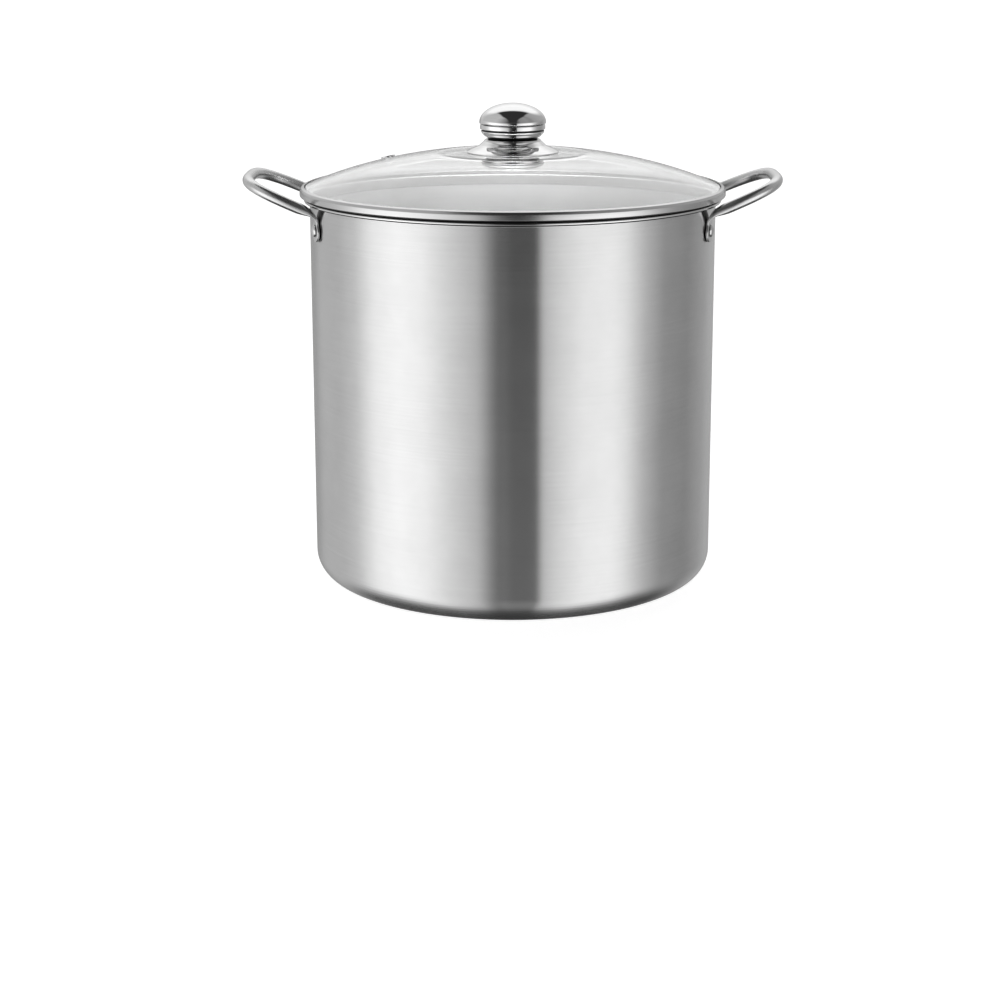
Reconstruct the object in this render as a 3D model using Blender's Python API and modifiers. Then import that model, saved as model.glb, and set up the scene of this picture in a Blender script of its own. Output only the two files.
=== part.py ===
"""A stainless water bath canner: tall stock pot, vented glass lid and wire jar rack.

Metres, +Z up. The origin is the centre of the pot's flat base, the two handles
are on the X axis, and the front is -Y.
"""
import bmesh
import bpy
from math import acos, asin, atan2, cos, hypot, pi, radians, sin, sqrt, tan
from mathutils import Matrix, Vector

MM = 0.001
GAP = 0.3 * MM                    # clearance between pieces that touch

# Pot: a straight pressed shell with a rolled bead at its rim
POT_R = 150.8 * MM                # outer wall radius at the rim
POT_HEIGHT = 287.6 * MM           # base to the top of the bead
POT_DRAFT = 0.9 * MM              # how much narrower the wall is at the base
WALL = 0.8 * MM
FLOOR = 1.2 * MM
BASE_CORNER_R = 19.5 * MM
BEAD_R = 155.2 * MM
BEAD_HEIGHT = 2.7 * MM
POT_STEPS = 48                    # segments of every large turned piece

# Handles: a round bar bent to a loop, its two ends hammered to paddles
BAR_R = 4.2 * MM
LOOP_HALF_WIDTH = 53.0 * MM       # from the X axis to each leg, at the wall
LOOP_OUT_X = 195.0 * MM           # bar centre at the loop's outer end
LOOP_RISE = radians(23.0)
LOOP_SQUARENESS = 3.4             # exponent of the loop's superellipse
LEG_Z = 279.3 * MM                # where a leg's centre line meets the paddle's
PADDLE_HALF_WIDTH = 7.2 * MM
PADDLE_NECK = 5.0 * MM             # half width where the paddle bends away from the wall
PADDLE_HALF_THICK = 1.0 * MM
PADDLE_BOTTOM_Z = 260.0 * MM
LEG_BEND_R = 9.0 * MM
SECTION_SIDES = 10

# Rivets, two to a handle
RIVET_Z = 268.2 * MM
RIVET_SHANK_R = 2.0 * MM
RIVET_HEAD_R = 4.5 * MM
RIVET_HEAD_HEIGHT = 2.0 * MM
RIVET_TAIL_R = 4.0 * MM
RIVET_TAIL_HEIGHT = 1.2 * MM

# Glass lid. Its heights are counted from the pot's rim, where the lid sits.
DOME_APEX = 35.25 * MM            # height of the dome's own curve on the axis
DOME_SQUARE = 0.985               # fall of the dome with radius squared, 1/m
DOME_FOURTH = 8.2                 # and with the radius to the fourth, 1/m3
SEAT_R = 56.0 * MM                # flat in the middle that the knob stands on
SEAT_H = 32.1 * MM
GLASS = 4.0 * MM
GLASS_R = 155.9 * MM
BAND_R = 158.0 * MM
BAND_LIP_R = 154.5 * MM
SKIRT_R = 147.8 * MM              # inner face of the flange inside the pot
SKIRT_DEPTH = 6.4 * MM
VENT_X = -94.4 * MM
VENT_Y = 36.0 * MM
VENT_SHANK_R = 3.6 * MM
VENT_FLANGE_R = 5.4 * MM
VENT_BORE_R = 1.8 * MM

# Knob
KNOB_TOP = 68.4 * MM
KNOB_R = 24.8 * MM
KNOB_CENTRE = 54.2 * MM           # widest level of the cap
CAP_SEAM = 53.3 * MM
CAP_WALL = 1.0 * MM
KNOB_FOOT = 41.9 * MM
BOLT_R = 2.75 * MM
BOLT_HOLE_R = 3.3 * MM
FLANGE_R = 34.1 * MM              # the flared flange under the knob

# Jar rack
WIRE_R = 2.0 * MM
RING_WIRE_R = 2.5 * MM
RING_R = 139.0 * MM
RING_Z = 15.0 * MM
INNER_RING_R = 50.0 * MM
CROSS_PITCH = 26.0 * MM
CROSS_SIDE = 4                    # cross wires each side of the middle one
CROSS_REACH_R = 141.0 * MM
BEARER_Y = 66.0 * MM
HINGE_X = 116.0 * MM
HINGE_REACH = 78.0 * MM
BAIL_WIRE_R = 1.8 * MM
BAIL_HALF_WIDTH = 48.0 * MM
BAIL_LENGTH = 108.0 * MM
BAIL_BEND_R = 16.0 * MM
EYE_SLACK = 0.4 * MM
FOOT_X = 80.0 * MM
FOOT_HALF_WIDTH = 10.0 * MM
WIRE_SIDES = 8

# Levels that follow from the sizes above
CROSS_Z = RING_Z + RING_WIRE_R + GAP + WIRE_R
BEARER_Z = CROSS_Z - 2 * WIRE_R - GAP
HINGE_Z = CROSS_Z
EYE_R = WIRE_R + EYE_SLACK + BAIL_WIRE_R
LEG_AZIMUTH = asin(LOOP_HALF_WIDTH / POT_R)
PADDLE_R = POT_R + GAP + PADDLE_HALF_THICK

STEEL = ("brushed_steel", (0.62, 0.62, 0.63), 0.28, 1.0)
POLISHED = ("polished_steel", (0.80, 0.80, 0.81), 0.08, 1.0)
WIRE = ("chromed_wire", (0.70, 0.71, 0.73), 0.12, 1.0)
CLEAR = ("tempered_glass", (0.90, 0.95, 0.93), 0.03, 0.0)
SILICONE = ("silicone", (0.05, 0.05, 0.05), 0.6, 0.0)


def clear_scene():
    """Remove whatever the scene holds."""
    for obj in list(bpy.data.objects):
        bpy.data.objects.remove(obj, do_unlink=True)


def new_collection(name):
    """A collection in the scene, for the parts or for the cutters."""
    collection = bpy.data.collections.new(name)
    bpy.context.scene.collection.children.link(collection)
    return collection


def new_material(name, finish):
    """A Principled material from a (label, colour, roughness, metallic) finish."""
    label, colour, roughness, metallic = finish
    material = bpy.data.materials.new(f"{name}_{label}")
    material.use_nodes = True
    shader = material.node_tree.nodes["Principled BSDF"]
    shader.inputs["Base Color"].default_value = (*colour, 1.0)
    shader.inputs["Roughness"].default_value = roughness
    shader.inputs["Metallic"].default_value = metallic
    return material


def add_object(name, mesh, finish, parent=None, collection=None):
    """Link a mesh as a named part, with its own material."""
    obj = bpy.data.objects.new(name, mesh)
    (collection or PARTS).objects.link(obj)
    if finish:
        mesh.materials.append(new_material(name, finish))
    if parent:
        obj.parent = parent
    return obj


def add_pivot(name, location, parent=None):
    """An empty on a joint's axis, for the pieces that move with it."""
    pivot = bpy.data.objects.new(name, None)
    PARTS.objects.link(pivot)
    pivot.location = location
    pivot.parent = parent
    return pivot


def shade(mesh, angle=35.0):
    """Smooth shading with sharp edges kept."""
    mesh.shade_smooth()
    mesh.set_sharp_from_angle(angle=radians(angle))


def arc(centre_x, centre_z, radius_x, radius_z, start, end, count):
    """Points along an elliptical arc, angles in degrees, both ends included."""
    angles = [radians(start + (end - start) * i / (count - 1)) for i in range(count)]
    return [(centre_x + radius_x * cos(a), centre_z + radius_z * sin(a)) for a in angles]


def turned(name, profile, finish, steps, closed=True, parent=None, collection=None):
    """Turn a profile of (radius, height) points about Z; it runs down its outer side."""
    mesh = bpy.data.meshes.new(name)
    edges = [(i, i + 1) for i in range(len(profile) - 1)]
    if closed:
        edges.append((len(profile) - 1, 0))
    mesh.from_pydata([(r, 0.0, z) for r, z in profile], edges, [])
    obj = add_object(name, mesh, finish, parent, collection)
    screw = obj.modifiers.new("turn", "SCREW")
    screw.axis = "Z"
    screw.steps = steps
    screw.render_steps = steps
    screw.use_merge_vertices = True
    screw.merge_threshold = 0.00001
    screw.use_smooth_shade = True
    return obj


def cylinder(name, radius, length, finish=None, sides=WIRE_SIDES, parent=None, collection=None):
    """A closed cylinder about its own Z, centred on its origin."""
    mesh = bpy.data.meshes.new(name)
    shape = bmesh.new()
    bmesh.ops.create_cone(
        shape, cap_ends=True, segments=sides, radius1=radius, radius2=radius, depth=length
    )
    shape.to_mesh(mesh)
    shape.free()
    shade(mesh)
    return add_object(name, mesh, finish, parent, collection)


def cut(target, cutter):
    """Take a cutter out of a part."""
    cutter.hide_render = True
    cutter.display_type = "WIRE"
    boolean = target.modifiers.new(cutter.name, "BOOLEAN")
    boolean.operation = "DIFFERENCE"
    boolean.object = cutter


def wire(name, points, radius, finish, parent=None, cyclic=False):
    """A wire of round section along straight stretches between points."""
    curve = bpy.data.curves.new(name, "CURVE")
    curve.dimensions = "3D"
    curve.bevel_depth = radius
    curve.bevel_resolution = 2
    curve.use_fill_caps = not cyclic
    spline = curve.splines.new("POLY")
    spline.points.add(len(points) - 1)
    for point, place in zip(spline.points, points):
        point.co = (*place, 1.0)
    spline.use_cyclic_u = cyclic
    spline.use_smooth = True
    curve.materials.append(new_material(name, finish))
    obj = bpy.data.objects.new(name, curve)
    PARTS.objects.link(obj)
    obj.parent = parent
    return obj


def ring(name, radius, wire_radius, height, steps, parent):
    """A welded wire ring lying flat at a height."""
    places = [2 * pi * i / steps for i in range(steps)]
    points = [(radius * cos(a), radius * sin(a), 0.0) for a in places]
    obj = wire(name, points, wire_radius, WIRE, parent, cyclic=True)
    obj.location.z = height
    return obj


def radial_matrix(side, end, radius, height):
    """Local Z points out of the wall at one of the four paddles."""
    azimuth = LEG_AZIMUTH * end
    outward = Vector((side * cos(azimuth), sin(azimuth), 0.0))
    place = outward * radius + Vector((0.0, 0.0, height))
    return Matrix.Translation(place) @ outward.to_track_quat("Z", "Y").to_matrix().to_4x4()


# ---------------------------------------------------------------- pot

def pot_profile():
    """Inside of the floor out and up to the rim, then down the outside."""
    base_r = POT_R - POT_DRAFT
    corner_x = base_r - BASE_CORNER_R
    bead_mid = POT_HEIGHT - BEAD_HEIGHT / 2
    bead_x = BEAD_R - BEAD_HEIGHT / 2
    inner_r = POT_R - WALL
    lip = 1.0 * MM
    inner_corner = arc(
        corner_x, BASE_CORNER_R, BASE_CORNER_R - WALL, BASE_CORNER_R - FLOOR, -90, 0, 5
    )
    outer_corner = arc(corner_x, BASE_CORNER_R, BASE_CORNER_R, BASE_CORNER_R, 0, -90, 5)
    mouth = arc(inner_r + lip, POT_HEIGHT - lip, lip, lip, 180, 90, 2)
    bead = arc(bead_x, bead_mid, BEAD_HEIGHT / 2, BEAD_HEIGHT / 2, 90, -90, 4)
    under_bead = [(POT_R + 0.6 * MM, POT_HEIGHT - BEAD_HEIGHT), (POT_R, POT_HEIGHT - BEAD_HEIGHT - MM)]
    return [(0.0, FLOOR)] + inner_corner + mouth + bead + under_bead + outer_corner + [(0.0, 0.0)]


def make_pot():
    """The pot's shell, pierced for the four rivets."""
    pot = turned("pot_body", pot_profile(), STEEL, POT_STEPS, closed=False)
    hole_r = RIVET_SHANK_R + GAP
    for side in (-1, 1):
        for end in (-1, 1):
            hole = cylinder(f"wall_hole_{side}_{end}", hole_r, 12 * MM, sides=16, collection=CUTTERS)
            hole.matrix_world = radial_matrix(side, end, POT_R, RIVET_Z)
            cut(pot, hole)
    return pot


# ---------------------------------------------------------------- handles

def smooth_step(value):
    """0 to 1 with level ends."""
    value = min(max(value, 0.0), 1.0)
    return value * value * (3 - 2 * value)


def leg_stations():
    """Half of a handle, from the paddle's tip to the loop's middle.

    Each station is (point, plan angle, half width, half thickness, squareness)
    for the handle on +X, on the side of +Y.
    """
    out_x = PADDLE_R * cos(LEG_AZIMUTH)
    out_y = PADDLE_R * sin(LEG_AZIMUTH)
    turn = pi / 2 - LOOP_RISE
    tangent = LEG_BEND_R * tan(turn / 2)
    stations = []

    tip_centre = PADDLE_BOTTOM_Z + PADDLE_HALF_WIDTH
    for i in range(1, 5):                        # the paddle's round end
        angle = pi / 2 * i / 4
        height = tip_centre - PADDLE_HALF_WIDTH * cos(angle * 0.97 + 0.03 * pi / 2)
        half = PADDLE_HALF_WIDTH * sin(angle)
        stations.append(((out_x, out_y, height), LEG_AZIMUTH, half, PADDLE_HALF_THICK, 5.0))

    bend_start_z = LEG_Z - tangent
    for i in range(1, 4):                        # straight up the wall, narrowing
        height = tip_centre + (bend_start_z - tip_centre) * i / 3
        half = PADDLE_HALF_WIDTH + (PADDLE_NECK - PADDLE_HALF_WIDTH) * smooth_step(i / 3)
        stations.append(((out_x, out_y, height), LEG_AZIMUTH, half, PADDLE_HALF_THICK, 5.0))

    loop_depth = LOOP_OUT_X - out_x
    bend_end_x = tangent * cos(LOOP_RISE)
    start_angle = acos((bend_end_x / loop_depth) ** (LOOP_SQUARENESS / 2))
    bend_steps = 4
    leg_steps = 11
    swell = 7                                    # stations over which the bar regains its round section
    for i in range(1, bend_steps):               # the bend away from the wall
        angle = turn * i / bend_steps
        x = out_x + LEG_BEND_R * (1 - cos(angle))
        z = bend_start_z + LEG_BEND_R * sin(angle)
        plan = LEG_AZIMUTH * (1 - smooth_step(i / bend_steps))
        stations.append(((x, out_y, z), plan, *section(i / swell)))
    for i in range(leg_steps + 1):               # the loop, to its middle
        angle = start_angle * (1 - i / leg_steps)
        x = loop_depth * cos(angle) ** (2 / LOOP_SQUARENESS)
        y = out_y * sin(angle) ** (2 / LOOP_SQUARENESS)
        slope = loop_slope(angle, loop_depth, out_y)
        share = (bend_steps + i) / swell
        stations.append(((out_x + x, y, LEG_Z + x * tan(LOOP_RISE)), slope, *section(share)))
    return stations


def loop_slope(angle, depth, width):
    """Plan direction of the loop at a superellipse angle: 0 along X, negative towards -Y."""
    power = 2 / LOOP_SQUARENESS - 1
    along_x = depth * cos(angle) ** power * sin(angle)
    along_y = -width * max(sin(angle), 1e-6) ** power * cos(angle)
    return atan2(along_y, along_x)


def section(share):
    """Half width, half thickness and squareness between the paddle and the round bar."""
    share = smooth_step(share)
    half_width = PADDLE_NECK + (BAR_R - PADDLE_NECK) * share
    half_thick = PADDLE_HALF_THICK + (BAR_R - PADDLE_HALF_THICK) * share
    return half_width, half_thick, 5.0 - 3.0 * share


def section_ring(point, tangent, plan, half_width, half_thick, squareness):
    """One superellipse section across the handle's path."""
    across = Vector((-sin(plan), cos(plan), 0.0))
    across = (across - tangent * across.dot(tangent)).normalized()
    outward = across.cross(tangent)
    points = []
    for k in range(SECTION_SIDES):
        angle = 2 * pi * (k + 0.5) / SECTION_SIDES
        c, s = cos(angle), sin(angle)
        along = half_width * abs(c) ** (2 / squareness) * (1 if c > 0 else -1)
        up = half_thick * abs(s) ** (2 / squareness) * (1 if s > 0 else -1)
        points.append(Vector(point) + across * along + outward * up)
    return points


def handle_mesh(name):
    """The whole handle on +X, lofted through its stations from +Y round to -Y."""
    half = leg_stations()
    mirrored = [((p[0], -p[1], p[2]), -pi - plan, w, t, n) for p, plan, w, t, n in reversed(half[:-1])]
    path = half + mirrored
    shape = bmesh.new()
    rings = []
    for i, (point, plan, half_width, half_thick, squareness) in enumerate(path):
        before = Vector(path[max(i - 1, 0)][0])
        after = Vector(path[min(i + 1, len(path) - 1)][0])
        tangent = (after - before).normalized()
        places = section_ring(point, tangent, plan, half_width, half_thick, squareness)
        rings.append([shape.verts.new(place) for place in places])
    for first, second in zip(rings, rings[1:]):
        for k in range(SECTION_SIDES):
            nxt = (k + 1) % SECTION_SIDES
            shape.faces.new((first[k], first[nxt], second[nxt], second[k]))
    shape.faces.new(list(reversed(rings[0])))
    shape.faces.new(rings[-1])
    bmesh.ops.recalc_face_normals(shape, faces=shape.faces)
    mesh = bpy.data.meshes.new(name)
    shape.to_mesh(mesh)
    shape.free()
    shade(mesh)
    return mesh


def make_handle(name, side):
    """A handle on one side of the pot, drilled for its two rivets."""
    handle = add_object(name, handle_mesh(name), POLISHED)
    handle.rotation_euler.z = 0.0 if side > 0 else pi
    for end in (-1, 1):
        hole = cylinder(
            f"{name}_hole_{end}", RIVET_SHANK_R + GAP, 12 * MM, sides=16, collection=CUTTERS
        )
        hole.matrix_world = radial_matrix(side, end, PADDLE_R, RIVET_Z)
        cut(handle, hole)
    return handle


def rivet_profile():
    """Outer head, shank and inner head; height 0 is the wall's inner face."""
    head_seat = WALL + 2 * GAP + 2 * PADDLE_HALF_THICK + GAP
    tail_seat = -2 * GAP
    head = arc(0.0, head_seat, RIVET_HEAD_R, RIVET_HEAD_HEIGHT, 90, 0, 4)
    tail = arc(0.0, tail_seat, RIVET_TAIL_R, RIVET_TAIL_HEIGHT, 0, -90, 3)
    shank = [(RIVET_SHANK_R, head_seat), (RIVET_SHANK_R, tail_seat)]
    return head + shank + tail


def make_rivets():
    """Four rivets, named by side and end."""
    for side, side_name in ((-1, "left"), (1, "right")):
        for end, end_name in ((-1, "front"), (1, "rear")):
            name = f"rivet_{side_name}_{end_name}"
            rivet = turned(name, rivet_profile(), POLISHED, 12, closed=False)
            rivet.matrix_world = radial_matrix(side, end, POT_R - WALL, RIVET_Z)


# ---------------------------------------------------------------- lid

def dome_height(radius):
    """Top of the glass above the pot's rim."""
    curve = DOME_APEX - DOME_SQUARE * radius ** 2 - DOME_FOURTH * radius ** 4
    return min(SEAT_H, curve)


def dome_slope(radius):
    """Fall of the dome per metre of radius."""
    if radius <= SEAT_R:
        return 0.0
    return 2 * DOME_SQUARE * radius + 4 * DOME_FOURTH * radius ** 3


def under_glass(radius):
    """The point of the glass's lower face under a point of its upper face."""
    slope = dome_slope(radius)
    norm = hypot(slope, 1.0)
    return radius - GLASS * slope / norm, dome_height(radius) - GLASS / norm


def glass_profile():
    """Upper face outwards, the ground edge, and the lower face back in."""
    stations = 6
    hole_r = BOLT_R + 0.8 * MM
    step = (GLASS_R - SEAT_R) / stations
    radii = [SEAT_R + step * i for i in range(stations + 1)]
    upper = [(hole_r, SEAT_H)] + [(r, dome_height(r)) for r in radii]
    edge = [(GLASS_R, dome_height(GLASS_R) - 1.7 * MM)]
    lower = [under_glass(r) for r in reversed(radii[:-1])]
    rounded = [under_glass(GLASS_R - 0.8 * MM)]
    return upper + edge + rounded + lower + [(hole_r, SEAT_H - GLASS)]


def vent_matrix():
    """Local Z along the glass's normal at the steam vent, origin on its upper face."""
    radius = hypot(VENT_X, VENT_Y)
    outward = Vector((VENT_X, VENT_Y, 0.0)).normalized()
    normal = (outward * dome_slope(radius) + Vector((0.0, 0.0, 1.0))).normalized()
    place = outward * radius + Vector((0.0, 0.0, dome_height(radius)))
    return Matrix.Translation(place) @ normal.to_track_quat("Z", "Y").to_matrix().to_4x4()


def make_glass(lid):
    """The tempered glass dome, with a bolt hole and a vent hole."""
    glass = turned("lid_glass", glass_profile(), CLEAR, POT_STEPS, parent=lid)
    hole = cylinder(
        "vent_hole", VENT_SHANK_R + GAP, 16 * MM, sides=20, parent=lid, collection=CUTTERS
    )
    hole.matrix_local = vent_matrix()
    cut(glass, hole)


def make_vent(lid):
    """The steel eyelet in the vent hole."""
    low = -GLASS - GAP
    top = GAP
    profile = [
        (VENT_BORE_R, top + 1.1 * MM),
        (VENT_FLANGE_R - 1.2 * MM, top + 1.1 * MM),
        (VENT_FLANGE_R, top + 0.6 * MM),
        (VENT_FLANGE_R, top),
        (VENT_SHANK_R, top),
        (VENT_SHANK_R, low),
        (VENT_FLANGE_R - MM, low),
        (VENT_FLANGE_R - MM, low - 0.8 * MM),
        (VENT_BORE_R, low - 0.8 * MM),
    ]
    eyelet = turned("vent_eyelet", profile, POLISHED, 16, parent=lid)
    eyelet.matrix_local = vent_matrix()


def make_band(lid):
    """The rolled steel channel round the glass, with its flange inside the pot."""
    lip_gap = 0.3 * MM
    plate = 0.6 * MM
    lip = dome_height(BAND_LIP_R) + lip_gap
    bulge = 4.4 * MM
    hem = 2.2 * MM
    profile = [
        (BAND_LIP_R, lip + plate),
        (BAND_R - 2.0 * MM, lip + 0.4 * MM),
        (BAND_R - 0.8 * MM, 6.6 * MM),
        (BAND_R - 0.1 * MM, bulge + MM),
        (BAND_R, bulge),
        (BAND_R - 0.2 * MM, 2.4 * MM),
        (BAND_R - MM, 1.2 * MM),
        (BAND_R - 3.0 * MM, GAP),
        (SKIRT_R + plate, GAP),
        (SKIRT_R + plate, -SKIRT_DEPTH),
        (SKIRT_R, -SKIRT_DEPTH),
        (SKIRT_R, hem),
        (BAND_R - 3.4 * MM, hem),
        (BAND_R - 1.0 * MM, 3.0 * MM),
        (BAND_R - 0.7 * MM, bulge),
        (BAND_R - 0.9 * MM, bulge + MM),
        (BAND_R - 1.6 * MM, dome_height(BAND_R - 1.6 * MM) + lip_gap),
        (BAND_LIP_R, lip),
    ]
    turned("lid_rim_band", profile, POLISHED, POT_STEPS, parent=lid)


def make_knob(lid):
    """Cap, body and flared flange of the knob."""
    steps = 28
    cap_rise = KNOB_TOP - KNOB_CENTRE
    outer = arc(0.0, KNOB_CENTRE, KNOB_R, cap_rise, 90, 0, 7)
    inner = arc(0.0, KNOB_CENTRE, KNOB_R - CAP_WALL, cap_rise - CAP_WALL, 0, 90, 5)
    bottom = [
        (KNOB_R - 0.3 * MM, CAP_SEAM + 0.3 * MM),
        (KNOB_R - 0.8 * MM, CAP_SEAM),
        (KNOB_R - 1.6 * MM, CAP_SEAM),
    ]
    turned("knob_cap", outer + bottom + inner, POLISHED, steps, closed=False, parent=lid)

    boss_r = 15.0 * MM
    body = [
        (0.0, 60.0 * MM),
        (boss_r, 60.0 * MM),
        (boss_r, CAP_SEAM - GAP),
        (23.4 * MM, CAP_SEAM - GAP),
        (24.1 * MM, 52.4 * MM),
        (24.2 * MM, 49.4 * MM),
        (23.2 * MM, 49.0 * MM),
        (23.1 * MM, 48.2 * MM),
        (23.4 * MM, 47.8 * MM),
        (23.3 * MM, 46.8 * MM),
        (22.4 * MM, 45.6 * MM),
        (21.2 * MM, 44.4 * MM),
        (19.4 * MM, 43.0 * MM),
        (18.3 * MM, KNOB_FOOT),
        (BOLT_HOLE_R, KNOB_FOOT),
        (BOLT_HOLE_R, 56.0 * MM),
        (0.0, 56.0 * MM),
    ]
    turned("knob_body", body, POLISHED, steps, closed=False, parent=lid)

    flange_top = KNOB_FOOT - GAP
    flange_foot = SEAT_H + GAP
    skin = 0.8 * MM
    outer = [
        (20.5 * MM, flange_top),
        (21.4 * MM, 40.4 * MM),
        (24.8 * MM, 37.2 * MM),
        (30.3 * MM, 34.8 * MM),
        (33.2 * MM, 33.2 * MM),
        (FLANGE_R, 32.7 * MM),
        (FLANGE_R, flange_foot),
    ]
    inner = [
        (FLANGE_R - MM, flange_foot),
        (29.9 * MM, 34.0 * MM),
        (24.3 * MM, 36.4 * MM),
        (20.6 * MM, 39.9 * MM),
        (19.6 * MM, flange_top - skin),
    ]
    bore = [(BOLT_HOLE_R, flange_top - skin), (BOLT_HOLE_R, flange_top)]
    turned("knob_flange", bore + outer + inner, POLISHED, steps, parent=lid)


def washer(name, inner_r, outer_r, low, high, finish, lid):
    """A flat ring between two heights."""
    profile = [(inner_r, high), (outer_r, high), (outer_r, low), (inner_r, low)]
    turned(name, profile, finish, 16, parent=lid)


def make_knob_fixing(lid):
    """Gaskets, washer and bolt that clamp the knob to the glass."""
    under = SEAT_H - GLASS
    washer("knob_gasket_upper", BOLT_HOLE_R, 12 * MM, SEAT_H + GAP, KNOB_FOOT - 1.4 * MM, SILICONE, lid)
    washer("knob_gasket_lower", BOLT_HOLE_R, 9 * MM, under - 1.5 * MM, under - GAP, SILICONE, lid)
    washer("knob_washer", BOLT_HOLE_R, 8 * MM, under - 2.6 * MM, under - 1.8 * MM, POLISHED, lid)
    seat = under - 2.9 * MM
    profile = [
        (0.0, 54.0 * MM),
        (BOLT_R - 0.5 * MM, 54.0 * MM),
        (BOLT_R, 53.4 * MM),
        (BOLT_R, seat),
        (5.2 * MM, seat),
        (5.2 * MM, seat - 1.6 * MM),
        (3.8 * MM, seat - 2.8 * MM),
        (0.0, seat - 3.2 * MM),
    ]
    bolt = turned("knob_bolt", profile, POLISHED, 16, closed=False, parent=lid)
    for index, (wide, deep) in enumerate(((6.0, 1.2), (1.2, 6.0))):
        slot = box_cutter(f"bolt_recess_{index}", (wide * MM, deep * MM, 3.2 * MM), lid)
        slot.location.z = seat - 3.2 * MM
        cut(bolt, slot)


def box_cutter(name, size, parent):
    """A box-shaped cutter centred on its origin."""
    mesh = bpy.data.meshes.new(name)
    shape = bmesh.new()
    bmesh.ops.create_cube(shape, size=1.0, matrix=Matrix.Diagonal((*size, 1.0)))
    shape.to_mesh(mesh)
    shape.free()
    return add_object(name, mesh, None, parent, CUTTERS)


def make_lid():
    """Everything that lifts off with the lid."""
    lid = add_pivot("lid_lift_axis", (0.0, 0.0, POT_HEIGHT))
    make_glass(lid)
    make_vent(lid)
    make_band(lid)
    make_knob(lid)
    make_knob_fixing(lid)


# ---------------------------------------------------------------- jar rack

def straight_wire(name, centre, length, along, parent):
    """A straight wire along X or Y."""
    obj = cylinder(name, WIRE_R, length, WIRE, parent=parent)
    obj.location = centre
    obj.rotation_euler = (0.0, pi / 2, 0.0) if along == "X" else (pi / 2, 0.0, 0.0)
    return obj


def foot_points():
    """A U bend hanging down from a bearer."""
    top = BEARER_Z - WIRE_R - GAP
    low = FLOOR + GAP + WIRE_R
    bend = 5.0 * MM
    right = arc(FOOT_HALF_WIDTH - bend, low + bend, bend, bend, 0, -90, 3)
    half = [(FOOT_HALF_WIDTH, top)] + right
    return [(x, 0.0, z) for x, z in half] + [(-x, 0.0, z) for x, z in reversed(half)]


def bail_points():
    """A folding handle lying flat: an eye, a leg, the grip, a leg and an eye.

    The hinge is along Y through the origin and the legs run towards -X.
    """
    eye = [(-EYE_R * sin(a), EYE_R * cos(a)) for a in (radians(-300 + 37.5 * i) for i in range(9))]
    bend_x = -(BAIL_LENGTH - BAIL_BEND_R)
    corner = arc(bend_x, BAIL_HALF_WIDTH - BAIL_BEND_R, BAIL_BEND_R, BAIL_BEND_R, 90, 180, 4)
    half = [(x, BAIL_HALF_WIDTH, z) for x, z in eye]
    half += [(x, y, EYE_R) for x, y in corner]
    return half + [(x, -y, z) for x, y, z in reversed(half)]


def make_rack():
    """The wire rack that holds the jars off the floor, with two folding handles."""
    rack = add_pivot("rack_lift_axis", (0.0, 0.0, 0.0))
    ring("rack_outer_ring", RING_R, RING_WIRE_R, RING_Z, 40, rack)
    ring("rack_inner_ring", INNER_RING_R, WIRE_R, BEARER_Z, 24, rack)
    for index in range(-CROSS_SIDE, CROSS_SIDE + 1):
        x = index * CROSS_PITCH
        length = 2 * sqrt(CROSS_REACH_R ** 2 - x ** 2)
        name = f"rack_cross_wire_{index + CROSS_SIDE + 1}"
        straight_wire(name, (x, 0.0, CROSS_Z), length, "Y", rack)
    for end, end_name in ((-1, "front"), (1, "rear")):
        inside = sqrt((RING_R - RING_WIRE_R) ** 2 - (BEARER_Y + WIRE_R) ** 2) - 2 * GAP
        place = (0.0, end * BEARER_Y, BEARER_Z)
        straight_wire(f"rack_bearer_{end_name}", place, 2 * inside, "X", rack)
        for side, side_name in ((-1, "left"), (1, "right")):
            foot = wire(f"rack_foot_{side_name}_{end_name}", foot_points(), WIRE_R, WIRE, rack)
            foot.location = (side * FOOT_X, end * BEARER_Y, 0.0)
    for side, side_name in ((-1, "left"), (1, "right")):
        place = (side * HINGE_X, 0.0, HINGE_Z)
        straight_wire(f"rack_hinge_bar_{side_name}", place, 2 * HINGE_REACH, "Y", rack)
        pivot = add_pivot(f"bail_{side_name}_axis", place, rack)
        bail = wire(f"rack_bail_{side_name}", bail_points(), BAIL_WIRE_R, WIRE, pivot)
        bail.rotation_euler.z = 0.0 if side > 0 else pi


clear_scene()
PARTS = new_collection("water_bath_canner")
CUTTERS = new_collection("cutters")
make_pot()
make_handle("handle_left", -1)
make_handle("handle_right", 1)
make_rivets()
make_lid()
make_rack()
bpy.context.view_layer.update()
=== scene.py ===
"""Looks of the water bath canner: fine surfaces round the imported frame, finishes, studio.

Metres, +Z up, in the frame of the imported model: the pot's base centre is the origin,
the handles are on the X axis and the front is -Y.
"""
from math import acos, asin, atan2, ceil, cos, hypot, pi, radians, sin, sqrt, tan

import bmesh
import bpy
from mathutils import Matrix, Vector


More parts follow.
